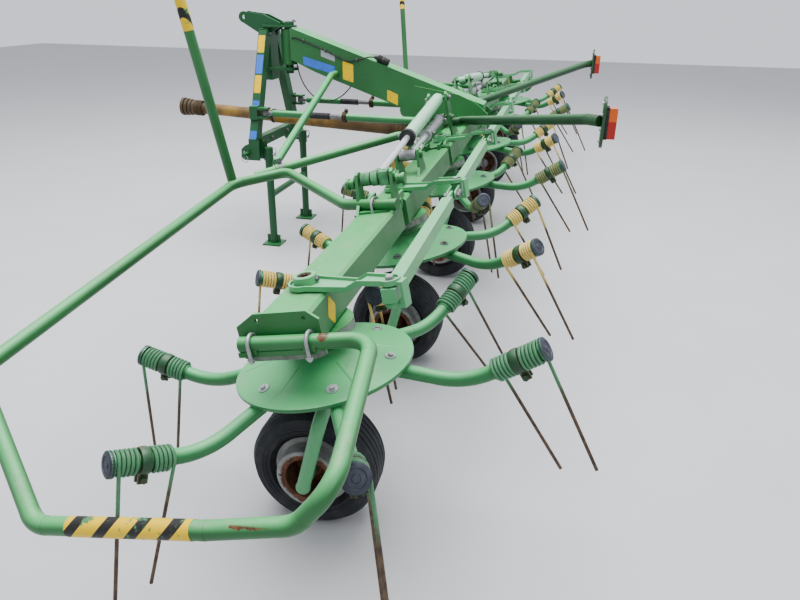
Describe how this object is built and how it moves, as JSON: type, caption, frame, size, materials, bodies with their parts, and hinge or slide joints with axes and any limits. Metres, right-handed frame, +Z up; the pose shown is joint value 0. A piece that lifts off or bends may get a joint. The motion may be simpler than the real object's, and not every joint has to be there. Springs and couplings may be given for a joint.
{
  "type": "mounted hay tedder",
  "caption": "Mounted hay tedder with tilted rotors, sprung tines, folding beams, wheels, swivel headstock and guard bars.",
  "frame": {"origin": "on the floor under the middle of the plan, midway between the two centre rotors", "axes": "+X to the right of the machine, +Y to its front where it is hitched, +Z up"},
  "size_m": [6.7976, 2.7537, 1.5861],
  "materials": {
    "green paint": "worn satin",
    "dark paint": "worn satin",
    "zinc": "dull",
    "chrome": "polished",
    "spring steel": "scuffed and rusty",
    "tyre": "ribbed",
    "yellow guard": "dusty",
    "lamp": "clear gloss"
  },
  "bodies": {
    "frame": {"main_beam": "green paint", "guard_arms": "green paint", "centre_beam": "green paint", "light_bars": "green paint", "lamps": "lamp", "drive_shaft": "yellow guard", "damper_barrels": "dark paint"},
    "headstock": {"headstock": "dark paint"},
    "stand": {"stand": "green paint"},
    "damper_rod_l": {"damper_rod_l": "chrome"},
    "damper_rod_r": {"damper_rod_r": "chrome"},
    "inner_beam_l": {"inner_beam_l": "green paint"},
    "inner_beam_r": {"inner_beam_r": "green paint"},
    "outer_beam_l": {"outer_beam_l": "green paint"},
    "outer_beam_r": {"outer_beam_r": "green paint"},
    "lift_barrel_l": {"lift_barrel_l": "green paint"},
    "lift_barrel_r": {"lift_barrel_r": "green paint"},
    "lift_rod_l": {"lift_rod_l": "chrome"},
    "lift_rod_r": {"lift_rod_r": "chrome"},
    "fold_barrel_l": {"fold_barrel_l": "zinc"},
    "fold_barrel_r": {"fold_barrel_r": "zinc"},
    "fold_rod_l": {"fold_rod_l": "chrome"},
    "fold_rod_r": {"fold_rod_r": "chrome"},
    "link_mid": {"link_mid": "green paint"},
    "link_in_l": {"link_in_l": "green paint"},
    "link_in_r": {"link_in_r": "green paint"},
    "link_out_l": {"link_out_l": "green paint"},
    "link_out_r": {"link_out_r": "green paint"},
    "rotor_1": {"rotor_1": "green paint", "tines_1": "spring steel"},
    "leg_1": {"leg_1": "green paint"},
    "wheel_1": {"tyre_1": "tyre", "rim_1": "zinc"},
    "rotor_2": {"rotor_2": "green paint", "tines_2": "spring steel"},
    "leg_2": {"leg_2": "green paint"},
    "wheel_2": {"tyre_2": "tyre", "rim_2": "zinc"},
    "rotor_3": {"rotor_3": "green paint", "tines_3": "spring steel"},
    "leg_3": {"leg_3": "green paint"},
    "wheel_3": {"tyre_3": "tyre", "rim_3": "zinc"},
    "rotor_4": {"rotor_4": "green paint", "tines_4": "spring steel"},
    "leg_4": {"leg_4": "green paint"},
    "wheel_4": {"tyre_4": "tyre", "rim_4": "zinc"},
    "rotor_5": {"rotor_5": "green paint", "tines_5": "spring steel"},
    "leg_5": {"leg_5": "green paint"},
    "wheel_5": {"tyre_5": "tyre", "rim_5": "zinc"},
    "rotor_6": {"rotor_6": "green paint", "tines_6": "spring steel"},
    "leg_6": {"leg_6": "green paint"},
    "wheel_6": {"tyre_6": "tyre", "rim_6": "zinc"}
  },
  "joints": [
    {"name": "fold_in_l", "type": "hinge", "parent": "frame", "child": "inner_beam_l", "pos_m": [-0.72, -0.51101, 0.78778], "axis": [0, 0.9816, -0.1908], "range_deg": [-4, 72]},
    {"name": "fold_out_l", "type": "hinge", "parent": "inner_beam_l", "child": "outer_beam_l", "pos_m": [-1.78, -0.51101, 0.78778], "axis": [0, 0.9816, -0.1908], "range_deg": [-7, 6]},
    {"name": "fold_in_r", "type": "hinge", "parent": "frame", "child": "inner_beam_r", "pos_m": [0.72, -0.51101, 0.78778], "axis": [0, -0.9816, 0.1908], "range_deg": [-4, 72]},
    {"name": "fold_out_r", "type": "hinge", "parent": "inner_beam_r", "child": "outer_beam_r", "pos_m": [1.78, -0.51101, 0.78778], "axis": [0, -0.9816, 0.1908], "range_deg": [-7, 6]},
    {"name": "spin_1", "type": "hinge", "parent": "outer_beam_l", "child": "rotor_1", "pos_m": [-2.65, -0.55738, 0.54924], "axis": [0, 0.1908, 0.9816], "continuous": true},
    {"name": "steer_1", "type": "hinge", "parent": "outer_beam_l", "child": "leg_1", "pos_m": [-2.65, -0.52876, 0.69649], "axis": [0, 0.1908, 0.9816], "range_deg": [-10, 10]},
    {"name": "roll_1", "type": "hinge", "parent": "leg_1", "child": "wheel_1", "pos_m": [-2.65, -0.526, 0.203], "axis": [1, 0, 0], "continuous": true},
    {"name": "spin_2", "type": "hinge", "parent": "inner_beam_l", "child": "rotor_2", "pos_m": [-1.59, -0.55738, 0.54924], "axis": [0, 0.1908, 0.9816], "continuous": true},
    {"name": "steer_2", "type": "hinge", "parent": "inner_beam_l", "child": "leg_2", "pos_m": [-1.59, -0.52876, 0.69649], "axis": [0, 0.1908, 0.9816], "range_deg": [-10, 10]},
    {"name": "roll_2", "type": "hinge", "parent": "leg_2", "child": "wheel_2", "pos_m": [-1.59, -0.526, 0.203], "axis": [1, 0, 0], "continuous": true},
    {"name": "spin_3", "type": "hinge", "parent": "frame", "child": "rotor_3", "pos_m": [-0.53, -0.55738, 0.54924], "axis": [0, 0.1908, 0.9816], "continuous": true},
    {"name": "steer_3", "type": "hinge", "parent": "frame", "child": "leg_3", "pos_m": [-0.53, -0.52876, 0.69649], "axis": [0, 0.1908, 0.9816], "range_deg": [-10, 10]},
    {"name": "roll_3", "type": "hinge", "parent": "leg_3", "child": "wheel_3", "pos_m": [-0.53, -0.526, 0.203], "axis": [1, 0, 0], "continuous": true},
    {"name": "spin_4", "type": "hinge", "parent": "frame", "child": "rotor_4", "pos_m": [0.53, -0.55738, 0.54924], "axis": [0, 0.1908, 0.9816], "continuous": true},
    {"name": "steer_4", "type": "hinge", "parent": "frame", "child": "leg_4", "pos_m": [0.53, -0.52876, 0.69649], "axis": [0, 0.1908, 0.9816], "range_deg": [-10, 10]},
    {"name": "roll_4", "type": "hinge", "parent": "leg_4", "child": "wheel_4", "pos_m": [0.53, -0.526, 0.203], "axis": [1, 0, 0], "continuous": true},
    {"name": "spin_5", "type": "hinge", "parent": "inner_beam_r", "child": "rotor_5", "pos_m": [1.59, -0.55738, 0.54924], "axis": [0, 0.1908, 0.9816], "continuous": true},
    {"name": "steer_5", "type": "hinge", "parent": "inner_beam_r", "child": "leg_5", "pos_m": [1.59, -0.52876, 0.69649], "axis": [0, 0.1908, 0.9816], "range_deg": [-10, 10]},
    {"name": "roll_5", "type": "hinge", "parent": "leg_5", "child": "wheel_5", "pos_m": [1.59, -0.526, 0.203], "axis": [1, 0, 0], "continuous": true},
    {"name": "spin_6", "type": "hinge", "parent": "outer_beam_r", "child": "rotor_6", "pos_m": [2.65, -0.55738, 0.54924], "axis": [0, 0.1908, 0.9816], "continuous": true},
    {"name": "steer_6", "type": "hinge", "parent": "outer_beam_r", "child": "leg_6", "pos_m": [2.65, -0.52876, 0.69649], "axis": [0, 0.1908, 0.9816], "range_deg": [-10, 10]},
    {"name": "roll_6", "type": "hinge", "parent": "leg_6", "child": "wheel_6", "pos_m": [2.65, -0.526, 0.203], "axis": [1, 0, 0], "continuous": true},
    {"name": "link_mid_pin", "type": "hinge", "parent": "leg_3", "child": "link_mid", "pos_m": [-0.608, -0.77801, 0.83968], "axis": [0, 0.1908, 0.9816], "range_deg": [-10, 10]},
    {"name": "link_in_l_pin", "type": "hinge", "parent": "leg_2", "child": "link_in_l", "pos_m": [-1.668, -0.77801, 0.83968], "axis": [0, 0.1908, 0.9816], "range_deg": [-10, 10]},
    {"name": "link_in_r_pin", "type": "hinge", "parent": "leg_5", "child": "link_in_r", "pos_m": [1.512, -0.77801, 0.83968], "axis": [0, 0.1908, 0.9816], "range_deg": [-10, 10]},
    {"name": "link_out_l_pin", "type": "hinge", "parent": "leg_1", "child": "link_out_l", "pos_m": [-2.728, -0.77801, 0.83968], "axis": [0, 0.1908, 0.9816], "range_deg": [-10, 10]},
    {"name": "link_out_r_pin", "type": "hinge", "parent": "leg_6", "child": "link_out_r", "pos_m": [2.572, -0.77801, 0.83968], "axis": [0, 0.1908, 0.9816], "range_deg": [-10, 10]},
    {"name": "lift_barrel_l_pin", "type": "hinge", "parent": "frame", "child": "lift_barrel_l", "pos_m": [-0.45, -0.46827, 1.00766], "axis": [0, 0.9816, -0.1908], "range_deg": [-3.48, 62.64]},
    {"name": "lift_rod_l_slide", "type": "slide", "parent": "lift_barrel_l", "child": "lift_rod_l", "axis": [-0.997, -0.0148, -0.076], "range_m": [-0.3676, 0.0204]},
    {"name": "lift_barrel_r_pin", "type": "hinge", "parent": "frame", "child": "lift_barrel_r", "pos_m": [0.45, -0.46827, 1.00766], "axis": [0, -0.9816, 0.1908], "range_deg": [-3.48, 62.64]},
    {"name": "lift_rod_r_slide", "type": "slide", "parent": "lift_barrel_r", "child": "lift_rod_r", "axis": [0.997, -0.0148, -0.076], "range_m": [-0.3676, 0.0204]},
    {"name": "fold_barrel_l_pin", "type": "hinge", "parent": "frame", "child": "fold_barrel_l", "pos_m": [-0.45, -0.48869, 0.90263], "axis": [0, 0.9816, -0.1908], "range_deg": [-2.9, 52.2]},
    {"name": "fold_rod_l_slide", "type": "slide", "parent": "fold_barrel_l", "child": "fold_rod_l", "axis": [-0.9994, -0.0067, -0.0346], "range_m": [-0.2419, 0.0134]},
    {"name": "fold_barrel_r_pin", "type": "hinge", "parent": "frame", "child": "fold_barrel_r", "pos_m": [0.45, -0.48869, 0.90263], "axis": [0, -0.9816, 0.1908], "range_deg": [-2.9, 52.2]},
    {"name": "fold_rod_r_slide", "type": "slide", "parent": "fold_barrel_r", "child": "fold_rod_r", "axis": [0.9994, -0.0067, -0.0346], "range_m": [-0.2419, 0.0134]},
    {"name": "swivel", "type": "hinge", "parent": "frame", "child": "headstock", "pos_m": [0, 0.584, 1.2], "axis": [0, 0, 1], "range_deg": [-10, 10]},
    {"name": "damper_rod_l_slide", "type": "slide", "parent": "frame", "child": "damper_rod_l", "axis": [0, 1, 0], "range_m": [-0.0524, 0.0524]},
    {"name": "damper_rod_r_slide", "type": "slide", "parent": "frame", "child": "damper_rod_r", "axis": [0, 1, 0], "range_m": [-0.0524, 0.0524]},
    {"name": "stand_lift", "type": "slide", "parent": "headstock", "child": "stand", "axis": [0, 0, 1], "range_m": [0, 0.15]}
  ],
  "couplings": [
    {"joint": "spin_1", "follows": "spin_3", "ratio": 1},
    {"joint": "steer_1", "follows": "steer_3", "ratio": 1},
    {"joint": "spin_2", "follows": "spin_3", "ratio": -1},
    {"joint": "steer_2", "follows": "steer_3", "ratio": 1},
    {"joint": "spin_4", "follows": "spin_3", "ratio": -1},
    {"joint": "steer_4", "follows": "steer_3", "ratio": 1},
    {"joint": "spin_5", "follows": "spin_3", "ratio": 1},
    {"joint": "steer_5", "follows": "steer_3", "ratio": 1},
    {"joint": "spin_6", "follows": "spin_3", "ratio": -1},
    {"joint": "steer_6", "follows": "steer_3", "ratio": 1},
    {"joint": "link_mid_pin", "follows": "steer_3", "ratio": -1},
    {"joint": "link_in_l_pin", "follows": "steer_3", "ratio": -1},
    {"joint": "link_in_r_pin", "follows": "steer_3", "ratio": -1},
    {"joint": "link_out_l_pin", "follows": "steer_3", "ratio": -1},
    {"joint": "link_out_r_pin", "follows": "steer_3", "ratio": -1},
    {"joint": "lift_barrel_l_pin", "follows": "fold_in_l", "ratio": 0.87},
    {"joint": "lift_rod_l_slide", "follows": "fold_in_l", "m_per_rad": -0.2925},
    {"joint": "lift_barrel_r_pin", "follows": "fold_in_r", "ratio": 0.87},
    {"joint": "lift_rod_r_slide", "follows": "fold_in_r", "m_per_rad": -0.2925},
    {"joint": "fold_barrel_l_pin", "follows": "fold_in_l", "ratio": 0.725},
    {"joint": "fold_rod_l_slide", "follows": "fold_in_l", "m_per_rad": -0.1925},
    {"joint": "fold_barrel_r_pin", "follows": "fold_in_r", "ratio": 0.725},
    {"joint": "fold_rod_r_slide", "follows": "fold_in_r", "m_per_rad": -0.1925},
    {"joint": "damper_rod_l_slide", "follows": "swivel", "m_per_rad": -0.3},
    {"joint": "damper_rod_r_slide", "follows": "swivel", "m_per_rad": 0.3}
  ]
}
